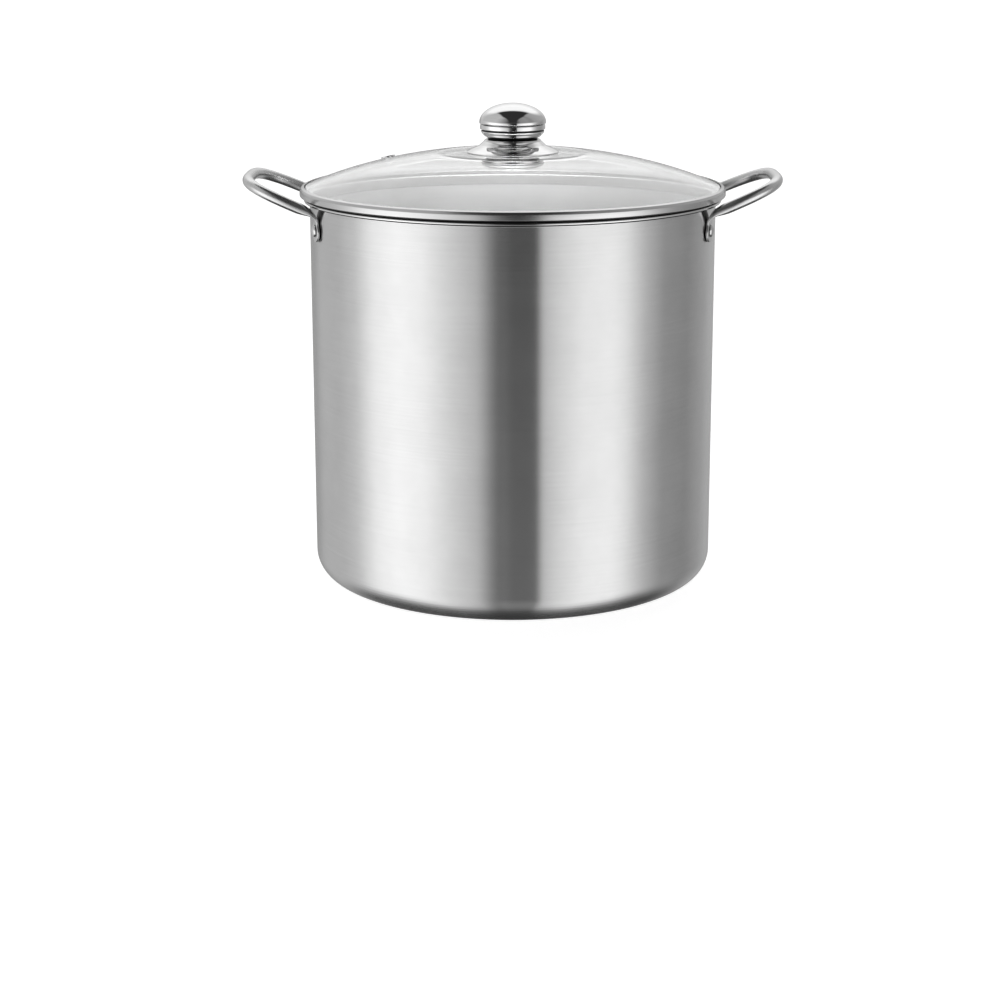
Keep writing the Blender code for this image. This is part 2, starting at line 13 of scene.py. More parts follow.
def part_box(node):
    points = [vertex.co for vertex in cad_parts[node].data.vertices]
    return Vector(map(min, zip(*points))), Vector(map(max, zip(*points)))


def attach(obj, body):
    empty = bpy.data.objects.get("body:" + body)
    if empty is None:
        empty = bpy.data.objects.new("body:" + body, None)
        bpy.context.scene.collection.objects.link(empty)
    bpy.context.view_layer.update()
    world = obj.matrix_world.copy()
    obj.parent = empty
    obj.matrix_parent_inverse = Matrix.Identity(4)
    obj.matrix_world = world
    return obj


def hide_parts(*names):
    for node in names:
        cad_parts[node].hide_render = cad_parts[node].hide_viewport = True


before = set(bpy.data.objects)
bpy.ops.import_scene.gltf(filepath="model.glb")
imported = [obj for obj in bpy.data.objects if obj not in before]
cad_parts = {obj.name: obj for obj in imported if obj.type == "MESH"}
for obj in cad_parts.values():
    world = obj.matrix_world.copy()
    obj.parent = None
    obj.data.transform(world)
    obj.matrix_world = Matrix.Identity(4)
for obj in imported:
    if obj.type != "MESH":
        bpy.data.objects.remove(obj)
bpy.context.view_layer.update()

MM = 0.001
GAP = 0.3 * MM

# Sizes taken from the frame
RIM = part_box("pot_body")[1].z
BEAD_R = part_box("pot_body")[1].x
BAND_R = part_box("lid_rim_band")[1].x
LOOP_TIP_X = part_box("handle_right")[1].x

# Pot, handles and rivets, as the frame has them
POT_R = BEAD_R - 4.4 * MM
POT_DRAFT = 0.9 * MM
WALL = 0.8 * MM
FLOOR = 1.2 * MM
BASE_CORNER_R = 19.5 * MM
BEAD_HEIGHT = 2.7 * MM
BAR_R = 4.2 * MM
LOOP_HALF_WIDTH = 53.0 * MM
LOOP_RISE = radians(23.0)
LOOP_SQUARENESS = 3.4
LEG_Z = RIM - 8.3 * MM
PADDLE_HALF_WIDTH = 7.2 * MM
PADDLE_NECK = 5.0 * MM
PADDLE_HALF_THICK = 1.0 * MM
PADDLE_BOTTOM_Z = RIM - 27.6 * MM
LEG_BEND_R = 9.0 * MM
SWELL_LENGTH = 20.0 * MM
RIVET_Z = RIM - 19.4 * MM
RIVET_SHANK_R = 2.0 * MM
RIVET_HEAD_R = 4.5 * MM
RIVET_HEAD_HEIGHT = 2.0 * MM
RIVET_TAIL_R = 4.0 * MM
RIVET_TAIL_HEIGHT = 1.2 * MM
LEG_AZIMUTH = asin(LOOP_HALF_WIDTH / POT_R)
PADDLE_R = POT_R + GAP + PADDLE_HALF_THICK

# Lid: heights are counted from the rim
DOME_APEX = 35.25 * MM
DOME_SQUARE = 0.985
DOME_FOURTH = 8.2
SEAT_H = 32.1 * MM
GLASS = 4.0 * MM
GLASS_R = 155.9 * MM
BAND_LIP_R = 154.5 * MM
SKIRT_R = 147.8 * MM
SKIRT_DEPTH = 6.4 * MM
VENT_X = -94.4 * MM
VENT_Y = 36.0 * MM
KNOB_TOP = 68.4 * MM
KNOB_R = 24.8 * MM
KNOB_CENTRE = 54.2 * MM
CAP_SEAM = 53.3 * MM
KNOB_FOOT = 41.9 * MM
FLANGE_R = 34.1 * MM
BOLT_R = 2.75 * MM
BOLT_HOLE_R = 3.3 * MM

# Rack
WIRE_R = 2.0 * MM
RING_WIRE_R = 2.5 * MM
RING_R = 139.0 * MM
RING_Z = 15.0 * MM
INNER_RING_R = 50.0 * MM
CROSS_PITCH = 26.0 * MM
CROSS_SIDE = 4
CROSS_REACH_R = 141.0 * MM
CROSS_Z = RING_Z + RING_WIRE_R + GAP + WIRE_R
BEARER_Y = 66.0 * MM
BEARER_Z = CROSS_Z - 2 * WIRE_R - GAP
HINGE_X = 116.0 * MM
HINGE_REACH = 78.0 * MM
BAIL_WIRE_R = 1.8 * MM
BAIL_HALF_WIDTH = 48.0 * MM
BAIL_LENGTH = 108.0 * MM
BAIL_BEND_R = 16.0 * MM
EYE_R = WIRE_R + 0.4 * MM + BAIL_WIRE_R
FOOT_X = 80.0 * MM
FOOT_HALF_WIDTH = 10.0 * MM


# ---------------------------------------------------------------- finishes

class Tree:
    """Short calls for building a node tree. A value is a number, a tuple or a socket."""

    def __init__(self, owner):
        owner.use_nodes = True
        self.nodes = owner.node_tree.nodes
        self.links = owner.node_tree.links
        self.nodes.clear()

    def add(self, kind, settings=None, **values):
        """A node with its settings, and its inputs named in lower case with underscores."""
        node = self.nodes.new(kind)
        for key, value in (settings or {}).items():
            setattr(node, key, value)
        named = {s.name.lower().replace(" ", "_"): s for s in reversed(node.inputs) if s.enabled}
        for key, value in values.items():
            self.put(named[key], value)
        return node

    def put(self, socket, value):
        """Link a socket, or set a plain value."""
        if isinstance(value, bpy.types.NodeSocket):
            self.links.new(value, socket)
        else:
            socket.default_value = value

    def math(self, operation, *values, clamp=False):
        node = self.nodes.new("ShaderNodeMath")
        node.operation = operation
        node.use_clamp = clamp
        for socket, value in zip(node.inputs, values):
            self.put(socket, value)
        return node.outputs[0]

    def span(self, value, low, high, to_low, to_high, smooth=False):
        """A value from one range carried to another, and kept within it."""
        node = self.nodes.new("ShaderNodeMapRange")
        node.interpolation_type = "SMOOTHSTEP" if smooth else "LINEAR"
        for socket, part in zip(node.inputs, (value, low, high, to_low, to_high)):
            self.put(socket, part)
        return node.outputs[0]

    def mix(self, share, first, second):
        """A colour between two."""
        node = self.nodes.new("ShaderNodeMix")
        node.data_type = "RGBA"
        for name, value in (("Factor", share), ("A", first), ("B", second)):
            socket = [s for s in node.inputs if s.name == name and s.enabled][0]
            self.put(socket, (*value, 1.0) if isinstance(value, tuple) else value)
        return [s for s in node.outputs if s.enabled][0]

    def noise(self, vector, scale, detail=2.0, rough=0.5, w=None):
        settings = {"noise_dimensions": "3D" if w is None else "4D"}
        extra = {} if w is None else {"w": w}
        node = self.add(
            "ShaderNodeTexNoise", settings,
            vector=vector, scale=scale, detail=detail, roughness=rough, **extra,
        )
        return node.outputs[0]

    def close(self, kind, shader):
        """Feed the surface of the material's or the world's output."""
        output = self.add(kind)
        self.put(output.inputs["Surface"], shader.outputs[0])


def place(tree):
    """The piece's own coordinates in metres: vector, x, y, z and distance from the axis."""
    vector = tree.add("ShaderNodeTexCoord").outputs["Object"]
    parts = tree.add("ShaderNodeSeparateXYZ", vector=vector).outputs
    x, y, z = parts[0], parts[1], parts[2]
    across = tree.math("ADD", tree.math("MULTIPLY", x, x), tree.math("MULTIPLY", y, y))
    return vector, x, y, z, tree.math("SQRT", across)


def turned_grain(tree, fine, long):
    """Noise drawn out round the Z axis: fine lines a metre across it, long ones round it."""
    _, x, y, z, radius = place(tree)
    vector = tree.add(
        "ShaderNodeCombineXYZ",
        x=tree.math("MULTIPLY", z, fine),
        y=tree.math("MULTIPLY", radius, fine),
        z=tree.math("MULTIPLY", x, long),
    ).outputs[0]
    return tree.noise(vector, 1.0, 3.0, 0.6, w=tree.math("MULTIPLY", y, long))


def metal(name, colour, rough, grain=None, grain_rough=0.0, grain_bump=0.0, cloud=0.03, anisotropic=0.0):
    """A metal with wiped-over clouding, and lines from turning or brushing round the axis."""
    material = bpy.data.materials.new(name)
    tree = Tree(material)
    vector = place(tree)[0]
    clouds = tree.noise(vector, 28.0, 4.0, 0.6)
    specks = tree.noise(vector, 900.0, 2.0, 0.5)
    lines = turned_grain(tree, *grain) if grain else specks
    darker = tuple(c * 0.93 for c in colour)
    lighter = tuple(min(c * 1.05, 1.0) for c in colour)
    tone = tree.math("ADD", tree.math("MULTIPLY", clouds, 0.5), tree.math("MULTIPLY", lines, 0.5))
    shade = tree.mix(tree.span(tone, 0.35, 0.65, 0.0, 1.0), darker, lighter)
    uneven = tree.math("MULTIPLY", tree.math("SUBTRACT", clouds, 0.5), cloud)
    streak = tree.math("MULTIPLY", tree.math("SUBTRACT", lines, 0.5), grain_rough)
    roughness = tree.math("ADD", tree.math("ADD", uneven, streak), rough, clamp=True)
    bump = tree.add("ShaderNodeBump", strength=grain_bump, distance=0.02 * MM, height=lines)
    shader = tree.add(
        "ShaderNodeBsdfPrincipled",
        base_color=shade, metallic=1.0, roughness=roughness, normal=bump.outputs[0],
    )
    if anisotropic:
        shader.inputs["Anisotropic"].default_value = anisotropic
        shader.inputs["Anisotropic Rotation"].default_value = 0.25
        tangent = tree.add("ShaderNodeTangent", {"direction_type": "RADIAL", "axis": "Z"})
        tree.put(shader.inputs["Tangent"], tangent.outputs[0])
    tree.close("ShaderNodeOutputMaterial", shader)
    return material


def clear_glass():
    """Clear tempered glass with light wipe marks in its gloss."""
    material = bpy.data.materials.new("clear_glass")
    tree = Tree(material)
    vector = place(tree)[0]
    wiped = tree.noise(vector, 16.0, 4.0, 0.65)
    shade = tree.mix(wiped, (0.975, 0.98, 0.978), (0.992, 0.994, 0.993))
    shader = tree.add(
        "ShaderNodeBsdfPrincipled",
        base_color=shade, metallic=0.0, ior=1.5, transmission_weight=1.0,
        roughness=tree.span(wiped, 0.45, 0.75, 0.0, 0.03),
    )
    tree.close("ShaderNodeOutputMaterial", shader)
    return material


def rubber():
    """Dark moulded silicone with a fine bloom."""
    material = bpy.data.materials.new("silicone")
    tree = Tree(material)
    vector = place(tree)[0]
    bloom = tree.noise(vector, 400.0, 4.0, 0.6)
    shade = tree.mix(bloom, (0.012, 0.012, 0.013), (0.035, 0.035, 0.037))
    bump = tree.add("ShaderNodeBump", strength=0.2, distance=0.05 * MM, height=bloom)
    shader = tree.add(
        "ShaderNodeBsdfPrincipled",
        base_color=shade, roughness=tree.span(bloom, 0.2, 0.8, 0.42, 0.62), normal=bump.outputs[0],
    )
    tree.close("ShaderNodeOutputMaterial", shader)
    return material


BRUSHED = metal(
    "brushed_steel", (0.62, 0.62, 0.62), 0.23,
    grain=(2600.0, 14.0), grain_rough=0.06, grain_bump=0.10, anisotropic=1.0,
)
SATIN = metal(
    "satin_steel", (0.80, 0.80, 0.80), 0.42,
    grain=(1500.0, 10.0), grain_rough=0.08, grain_bump=0.15,
)
BEAD = metal("rolled_rim", (0.70, 0.70, 0.70), 0.14, grain=(1800.0, 12.0), grain_rough=0.05)
# Painted shade: a near-black metal laid where shade falls, on the rim's bead, the lid band's underside and
# the knob's groove, neck and cap seam.
PAINTED_SHADE = metal("unpolished_steel", (0.035, 0.035, 0.035), 0.46, cloud=0.10, grain_rough=0.08)
POLISHED = metal("polished_steel", (0.72, 0.72, 0.72), 0.13, grain=(1500.0, 12.0), grain_rough=0.04)
BAND = metal("rolled_band", (0.60, 0.60, 0.60), 0.23, grain=(1500.0, 12.0), grain_rough=0.05)
BAR = metal("handle_bar", (0.66, 0.66, 0.66), 0.28, cloud=0.05, grain_rough=0.03)
RIVET = metal("rivet_steel", (0.66, 0.66, 0.66), 0.20, cloud=0.05, grain_rough=0.04)
CHROME = metal("chromed_knob", (0.74, 0.74, 0.74), 0.05, grain=(1200.0, 12.0), grain_rough=0.02, cloud=0.02)
PLATED = metal("plated_fixing", (0.60, 0.60, 0.59), 0.28, cloud=0.08, grain_rough=0.06)
BOLT = metal("dark_bolt", (0.14, 0.14, 0.14), 0.26, cloud=0.08, grain_rough=0.05)
RACK_WIRE = metal("rack_wire", (0.68, 0.69, 0.70), 0.14, cloud=0.08, grain_rough=0.05)
CLEAR = clear_glass()
SILICONE = rubber()


# ---------------------------------------------------------------- shapes

def arc(centre_x, centre_z, radius_x, radius_z, start, end, count):
    """Points along an elliptical arc, angles in degrees, both ends included."""
    angles = [radians(start + (end - start) * i / (count - 1)) for i in range(count)]
    return [(centre_x + radius_x * cos(a), centre_z + radius_z * sin(a)) for a in angles]


def rounded(corners, ring=False, step=radians(9.0)):
    """A profile through (radius, height, fillet) corners, each rounded by its fillet."""
    points = []
    count = len(corners)
    for i, (x, z, fillet) in enumerate(corners):
        at_end = not ring and i in (0, count - 1)
        if fillet <= 0.0 or at_end:
            points.append((x, z))
            continue
        here = Vector((x, z))
        back = Vector(corners[i - 1][:2]) - here
        ahead = Vector(corners[(i + 1) % count][:2]) - here
        inside = back.angle(ahead)
        reach = min(fillet / tan(inside / 2), 0.48 * back.length, 0.48 * ahead.length)
        radius = reach * tan(inside / 2)
        centre = here + (back.normalized() + ahead.normalized()).normalized() * (radius / sin(inside / 2))
        first = here + back.normalized() * reach - centre
        last = here + ahead.normalized() * reach - centre
        turn = atan2(first.x * last.y - first.y * last.x, first.dot(last))
        steps = max(2, ceil(abs(turn) / step))
        for k in range(steps + 1):
            point = centre + Matrix.Rotation(turn * k / steps, 2) @ first
            points.append((point.x, point.y))
    return points


def held(profile, inset=0.5 * MM):
    """Extra points near the ends of long straight stretches, which keep their shading flat."""
    points = [profile[0]]
    for (x0, z0), (x1, z1) in zip(profile, profile[1:]):
        length = hypot(x1 - x0, z1 - z0)
        if length > 4 * inset:
            for share in (inset / length, 1 - inset / length):
                points.append((x0 + (x1 - x0) * share, z0 + (z1 - z0) * share))
        points.append((x1, z1))
    return points


def add_piece(name, mesh, body, material, nodes):
    """Link a mesh as a piece that rides on a body and stands for CAD nodes."""
    for one in material if isinstance(material, list) else [material]:
        mesh.materials.append(one)
    obj = bpy.data.objects.new(name, mesh)
    bpy.context.scene.collection.objects.link(obj)
    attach(obj, body)
    if nodes:
        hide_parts(*nodes)
    return obj


def shape_to_mesh(shape, name, sharp=40.0):
    """Finish a bmesh: outward faces, smooth shading, sharp edges kept."""
    bmesh.ops.recalc_face_normals(shape, faces=shape.faces)
    mesh = bpy.data.meshes.new(name)
    shape.to_mesh(mesh)
    shape.free()
    mesh.shade_smooth()
    mesh.set_sharp_from_angle(angle=radians(sharp))
    return mesh


def turned(name, profile, steps, ring=True, matrix=None, pick=None):
    """A mesh turned about Z from a profile. pick gives each face's material from its place."""
    shape = bmesh.new()
    verts = [shape.verts.new((r, 0.0, z)) for r, z in profile]
    line = verts + verts[:1] if ring else verts
    edges = [shape.edges.new(pair) for pair in zip(line, line[1:])]
    bmesh.ops.spin(
        shape, geom=verts + edges, axis=(0, 0, 1), cent=(0, 0, 0),
        angle=2 * pi, steps=steps, use_merge=True,
    )
    bmesh.ops.remove_doubles(shape, verts=shape.verts, dist=0.001 * MM)
    if pick:
        for face in shape.faces:
            centre = face.calc_center_median()
            face.material_index = pick(hypot(centre.x, centre.y), centre.z)
    if matrix:
        bmesh.ops.transform(shape, matrix=matrix, verts=shape.verts)
    return shape_to_mesh(shape, name)


def lifted(profile, height=RIM):
    """A lid profile, whose heights are counted from the rim, in the frame."""
    return [(x, z + height) for x, z in profile]


def wire(name, points, radius, cyclic=False, sides=5):
    """A wire along points, its open ends rounded off, as a mesh."""
    radii = [1.0] * len(points)
    places = [Vector(p) for p in points]
    if not cyclic:
        places, radii = round_ends(places, radius)
    curve = bpy.data.curves.new(name, "CURVE")
    curve.dimensions = "3D"
    curve.bevel_depth = radius
    curve.bevel_resolution = sides
    curve.use_fill_caps = not cyclic
    spline = curve.splines.new("POLY")
    spline.points.add(len(places) - 1)
    for point, spot, swell in zip(spline.points, places, radii):
        point.co = (*spot, 1.0)
        point.radius = swell
    spline.use_cyclic_u = cyclic
    spline.use_smooth = True
    holder = bpy.data.objects.new(name, curve)
    bpy.context.scene.collection.objects.link(holder)
    bpy.context.view_layer.update()
    mesh = bpy.data.meshes.new_from_object(holder.evaluated_get(bpy.context.evaluated_depsgraph_get()))
    bpy.data.objects.remove(holder)
    bpy.data.curves.remove(curve)
    shape = bmesh.new()
    shape.from_mesh(mesh)
    bmesh.ops.remove_doubles(shape, verts=shape.verts, dist=0.001 * MM)
    bpy.data.meshes.remove(mesh)
    return shape_to_mesh(shape, name)


def round_ends(places, radius):
    """Points and radii that close a wire's ends with a quarter round."""
    steps = 5
    head, tail = [], []
    first = (places[1] - places[0]).normalized()
    last = (places[-2] - places[-1]).normalized()
    for i in range(steps):
        angle = pi / 2 * (i + 0.35) / (steps + 0.35)
        depth = radius * (1 - sin(angle))
        head.append((places[0] + first * depth, cos(pi / 2 - angle)))
        tail.append((places[-1] + last * depth, cos(pi / 2 - angle)))
    body = [(places[0] + first * radius, 1.0)] + [(p, 1.0) for p in places[1:-1]]
    body += [(places[-1] + last * radius, 1.0)]
    chain = head + body + tail[::-1]
    return [p for p, _ in chain], [r for _, r in chain]


def radial_matrix(side, end, radius, height):
    """Local Z points out of the wall at one of the four paddles."""
    azimuth = LEG_AZIMUTH * end
    outward = Vector((side * cos(azimuth), sin(azimuth), 0.0))
    spot = outward * radius + Vector((0.0, 0.0, height))
    return Matrix.Translation(spot) @ outward.to_track_quat("Z", "Y").to_matrix().to_4x4()


# ---------------------------------------------------------------- pot

def make_pot():
    """The shell: satin inside, brushed outside, its rim rolled over. The bead's top and underside, where
    shade falls, are painted near-black as painted shade.
    """
    base_r = POT_R - POT_DRAFT
    profile = held(rounded([
        (0.0, FLOOR, 0.0),
        (base_r - WALL, FLOOR, BASE_CORNER_R - WALL),
        (POT_R - WALL, RIM, 1.2 * MM),
        (BEAD_R, RIM, 1.3 * MM),
        (BEAD_R, RIM - BEAD_HEIGHT, 1.3 * MM),
        (POT_R, RIM - BEAD_HEIGHT - 0.2 * MM, 0.8 * MM),
        (base_r, 0.0, BASE_CORNER_R),
        (0.0, 0.0, 0.0),
    ], step=radians(6.0)))

    satin, brushed, bead, painted_shade = range(4)
    bead_foot = RIM - BEAD_HEIGHT

    def pick(radius, height):
        # Painted shade: the bead's top under the band's overhang and the bead's underside take the
        # near-black material.
        if height > RIM - 0.08 * MM:
            return painted_shade
        underside = bead_foot - 0.4 * MM < height < bead_foot + 0.8 * MM
        if underside and radius > POT_R + 0.8 * MM:
            return painted_shade
        if height > bead_foot - 0.9 * MM and radius > POT_R - WALL + 0.1 * MM:
            return bead
        wall = base_r + POT_DRAFT * height / RIM
        outside = radius > wall - 0.5 * WALL or height < 0.5 * FLOOR
        corner = BASE_CORNER_R - hypot(radius - base_r + BASE_CORNER_R, height - BASE_CORNER_R)
        if height < BASE_CORNER_R and radius > base_r - BASE_CORNER_R:
            outside = corner < 0.5 * WALL
        return brushed if outside else satin

    mesh = turned("pot_shell", profile, 288, ring=False, pick=pick)
    add_piece("pot_shell", mesh, "pot", [SATIN, BRUSHED, BEAD, PAINTED_SHADE], ["pot_body"])


# ---------------------------------------------------------------- handles

def smooth_step(value):
    """0 to 1 with level ends."""
    value = min(max(value, 0.0), 1.0)
    return value * value * (3 - 2 * value)


def leg_path():
    """Half of the right handle, from the paddle's tip to the loop's middle.

    Each station is (point, plan angle, half width); the bar regains its round section later.
    """
    out_x = PADDLE_R * cos(LEG_AZIMUTH)
    out_y = PADDLE_R * sin(LEG_AZIMUTH)
    turn = pi / 2 - LOOP_RISE
    tangent = LEG_BEND_R * tan(turn / 2)
    bend_start_z = LEG_Z - tangent
    tip_centre = PADDLE_BOTTOM_Z + PADDLE_HALF_WIDTH
    stations = []
    for i in range(1, 15):                       # the paddle's round end
        angle = pi / 2 * i / 14
        height = tip_centre - PADDLE_HALF_WIDTH * cos(angle)
        stations.append((Vector((out_x, out_y, height)), LEG_AZIMUTH, PADDLE_HALF_WIDTH * sin(angle)))
    for i in range(1, 9):                        # straight up the wall, narrowing
        height = tip_centre + (bend_start_z - tip_centre) * i / 8
        width = PADDLE_HALF_WIDTH + (PADDLE_NECK - PADDLE_HALF_WIDTH) * smooth_step(i / 8)
        stations.append((Vector((out_x, out_y, height)), LEG_AZIMUTH, width))
    for i in range(1, 13):                       # the bend away from the wall
        angle = turn * i / 13
        spot = (out_x + LEG_BEND_R * (1 - cos(angle)), out_y, bend_start_z + LEG_BEND_R * sin(angle))
        stations.append((Vector(spot), LEG_AZIMUTH * (1 - smooth_step(i / 13)), PADDLE_NECK))
    depth = LOOP_TIP_X - BAR_R - out_x
    start = acos((tangent * cos(LOOP_RISE) / depth) ** (LOOP_SQUARENESS / 2))
    loop_steps = 56
    for i in range(loop_steps + 1):              # the loop, to its middle
        angle = start * (1 - i / loop_steps)
        x = depth * cos(angle) ** (2 / LOOP_SQUARENESS)
        y = out_y * sin(angle) ** (2 / LOOP_SQUARENESS)
        spot = (out_x + x, y, LEG_Z + x * tan(LOOP_RISE))
        stations.append((Vector(spot), loop_slope(angle, depth, out_y), PADDLE_NECK))
    return stations, bend_start_z


def loop_slope(angle, depth, width):
    """Plan direction of the loop at a superellipse angle: 0 along X, negative towards -Y."""
    power = 2 / LOOP_SQUARENESS - 1
    along_x = depth * cos(angle) ** power * sin(angle)
    along_y = -width * max(sin(angle), 1e-6) ** power * cos(angle)
    return atan2(along_y, along_x)


def handle_sections():
    """Stations of the whole handle: point, plan angle, half width, half thickness, squareness."""
    path, bend_start_z = leg_path()
    half = []
    run = 0.0
    for i, (spot, plan, width) in enumerate(path):
        if i and spot.z > bend_start_z + 1e-7:
            run += (spot - path[i - 1][0]).length
        share = smooth_step(run / SWELL_LENGTH)
        half_width = width + (BAR_R - width) * share
        half_thick = PADDLE_HALF_THICK + (BAR_R - PADDLE_HALF_THICK) * share
        half.append((spot, plan, half_width, half_thick, 5.0 - 3.0 * share))
    mirrored = [
        (Vector((p.x, -p.y, p.z)), -pi - plan, w, t, n) for p, plan, w, t, n in reversed(half[:-1])
    ]
    return half + mirrored


def handle_mesh(name, matrix):
    """The handle lofted through its sections."""
    sides = 36
    path = handle_sections()
    shape = bmesh.new()
    rings = []
    for i, (spot, plan, half_width, half_thick, squareness) in enumerate(path):
        tangent = (path[min(i + 1, len(path) - 1)][0] - path[max(i - 1, 0)][0]).normalized()
        across = Vector((-sin(plan), cos(plan), 0.0))
        across = (across - tangent * across.dot(tangent)).normalized()
        outward = across.cross(tangent)
        ring = []
        for k in range(sides):
            angle = 2 * pi * (k + 0.5) / sides
            c, s = cos(angle), sin(angle)
            along = half_width * abs(c) ** (2 / squareness) * (1 if c > 0 else -1)
            up = half_thick * abs(s) ** (2 / squareness) * (1 if s > 0 else -1)
            ring.append(shape.verts.new(spot + across * along + outward * up))
        rings.append(ring)
    for first, second in zip(rings, rings[1:]):
        for k in range(sides):
            following = (k + 1) % sides
            shape.faces.new((first[k], first[following], second[following], second[k]))
    shape.faces.new(list(reversed(rings[0])))
    shape.faces.new(rings[-1])
    bmesh.ops.transform(shape, matrix=matrix, verts=shape.verts)
    return shape_to_mesh(shape, name, sharp=50.0)


def make_handles():
    """Both loops, and the two rivets through each one's paddles."""
    head_seat = WALL + 2 * GAP + 2 * PADDLE_HALF_THICK + 0.05 * MM
    head = arc(0.0, head_seat, RIVET_HEAD_R, RIVET_HEAD_HEIGHT, 90, 0, 16)
    tail = arc(0.0, -2 * GAP, RIVET_TAIL_R, RIVET_TAIL_HEIGHT, 0, -90, 12)
    profile = head + [(RIVET_SHANK_R, head_seat), (RIVET_SHANK_R, -2 * GAP)] + tail
    for side, side_name in ((-1, "left"), (1, "right")):
        mesh = handle_mesh(f"loop_{side_name}", Matrix.Rotation(0.0 if side > 0 else pi, 4, "Z"))
        add_piece(f"loop_{side_name}", mesh, "pot", BAR, [f"handle_{side_name}"])
        for end, end_name in ((-1, "front"), (1, "rear")):
            node = f"rivet_{side_name}_{end_name}"
            matrix = radial_matrix(side, end, POT_R - WALL, RIVET_Z)
            mesh = turned(node + "_head", profile, 48, ring=False, matrix=matrix)
            add_piece(node + "_head", mesh, "pot", RIVET, [node])


# ---------------------------------------------------------------- lid

def dome_height(radius):
    """Top of the glass above the rim: the dome, easing into the knob's flat seat."""
    curve = DOME_APEX - DOME_SQUARE * radius ** 2 - DOME_FOURTH * radius ** 4
    blend = 0.3 * MM
    return 0.5 * (curve + SEAT_H - sqrt((curve - SEAT_H) ** 2 + blend ** 2))


def glass_normal(radius):
    """Unit normal of the glass's upper face in the profile's plane."""
    step = 0.01 * MM
    slope = (dome_height(radius + step) - dome_height(radius - step)) / (2 * step)
    return Vector((-slope, 1.0)).normalized()


def make_glass():
    """The dome of tempered glass with its ground, rounded edge and its bolt hole."""
    stations = 72
    hole_r = BOLT_R + 0.8 * MM
    radii = [hole_r + (GLASS_R - 1.2 * MM - hole_r) * i / stations for i in range(stations + 1)]
    upper = [Vector((r, dome_height(r))) for r in radii]
    lower = [point - glass_normal(point.x) * GLASS for point in upper]
    normal = glass_normal(radii[-1])
    along = Vector((normal.y, -normal.x))
    middle = (upper[-1] + lower[-1]) / 2
    edge = [
        middle + along * (1.2 * MM * cos(a)) + normal * (GLASS / 2 * sin(a))
        for a in (radians(90 - 12 * i) for i in range(1, 15))
    ]
    profile = [tuple(p) for p in upper + edge + lower[::-1]]
    mesh = turned("glass_dome", lifted(profile), 288)
    add_piece("glass_dome", mesh, "lid", CLEAR, ["lid_glass"])


def vent_matrix():
    """Local Z along the glass's normal at the steam vent, origin on its upper face."""
    radius = hypot(VENT_X, VENT_Y)
    outward = Vector((VENT_X, VENT_Y, 0.0)).normalized()
    lean = glass_normal(radius)
    normal = (outward * lean.x + Vector((0.0, 0.0, lean.y))).normalized()
    spot = outward * radius + Vector((0.0, 0.0, RIM + dome_height(radius)))
    return Matrix.Translation(spot) @ normal.to_track_quat("Z", "Y").to_matrix().to_4x4()


def make_vent():
    """The steel eyelet, its flange rolled down on the glass."""
    low = -GLASS - 0.1 * MM
    profile = held(rounded([
        (1.8 * MM, 1.2 * MM, 0.6 * MM),
        (5.4 * MM, 1.2 * MM, 1.0 * MM),
        (5.4 * MM, 0.1 * MM, 0.2 * MM),
        (3.6 * MM, 0.1 * MM, 0.0),
        (3.6 * MM, low, 0.0),
        (4.4 * MM, low, 0.2 * MM),
        (4.4 * MM, low - 0.9 * MM, 0.4 * MM),
        (1.8 * MM, low - 0.9 * MM, 0.4 * MM),
    ], ring=True), 0.1 * MM)
    mesh = turned("vent_collar", profile, 64, matrix=vent_matrix())
    add_piece("vent_collar", mesh, "lid", POLISHED, ["vent_eyelet"])


def make_band():
    """The steel channel rolled round the glass, with its flange inside the pot."""
    lip_gap = 0.3 * MM
    plate = 0.9 * MM
    flange = 0.6 * MM
    lip = dome_height(BAND_LIP_R) + lip_gap
    brow = BAND_R - 1.3 * MM
    hem = 2.2 * MM
    profile = held(rounded([
        (BAND_LIP_R, lip + plate, 0.4 * MM),
        (brow, dome_height(brow) + lip_gap + plate, 0.35 * MM),
        (BAND_R - 0.12 * MM, 5.7 * MM, 1.2 * MM),
        (BAND_R, 4.0 * MM, 2.0 * MM),
        (BAND_R, 1.7 * MM, 0.4 * MM),
        (BAND_R - 0.8 * MM, 1.5 * MM, 0.3 * MM),
        (BAND_R - 3.2 * MM, GAP, 0.8 * MM),
        (SKIRT_R + flange, GAP, 0.5 * MM),
        (SKIRT_R + flange, -SKIRT_DEPTH, 0.25 * MM),
        (SKIRT_R, -SKIRT_DEPTH, 0.25 * MM),
        (SKIRT_R, hem, 0.8 * MM),
        (BAND_R - 3.4 * MM, hem, 0.6 * MM),
        (BAND_R - 1.0 * MM, 3.0 * MM, 0.6 * MM),
        (BAND_R - 0.7 * MM, 4.6 * MM, 1.0 * MM),
        (BAND_R - 1.7 * MM, dome_height(BAND_R - 1.7 * MM) + lip_gap, 0.4 * MM),
        (BAND_LIP_R, lip, 0.28 * MM),
    ], ring=True), 0.2 * MM)

    def pick(radius, height):
        # Painted shade: the band's underside and the foot of its outer face take the near-black material.
        return 1 if radius > SKIRT_R + MM and height < RIM + 1.55 * MM else 0

    mesh = turned("rim_channel", lifted(profile), 288, pick=pick)
    add_piece("rim_channel", mesh, "lid", [BAND, PAINTED_SHADE], ["lid_rim_band"])


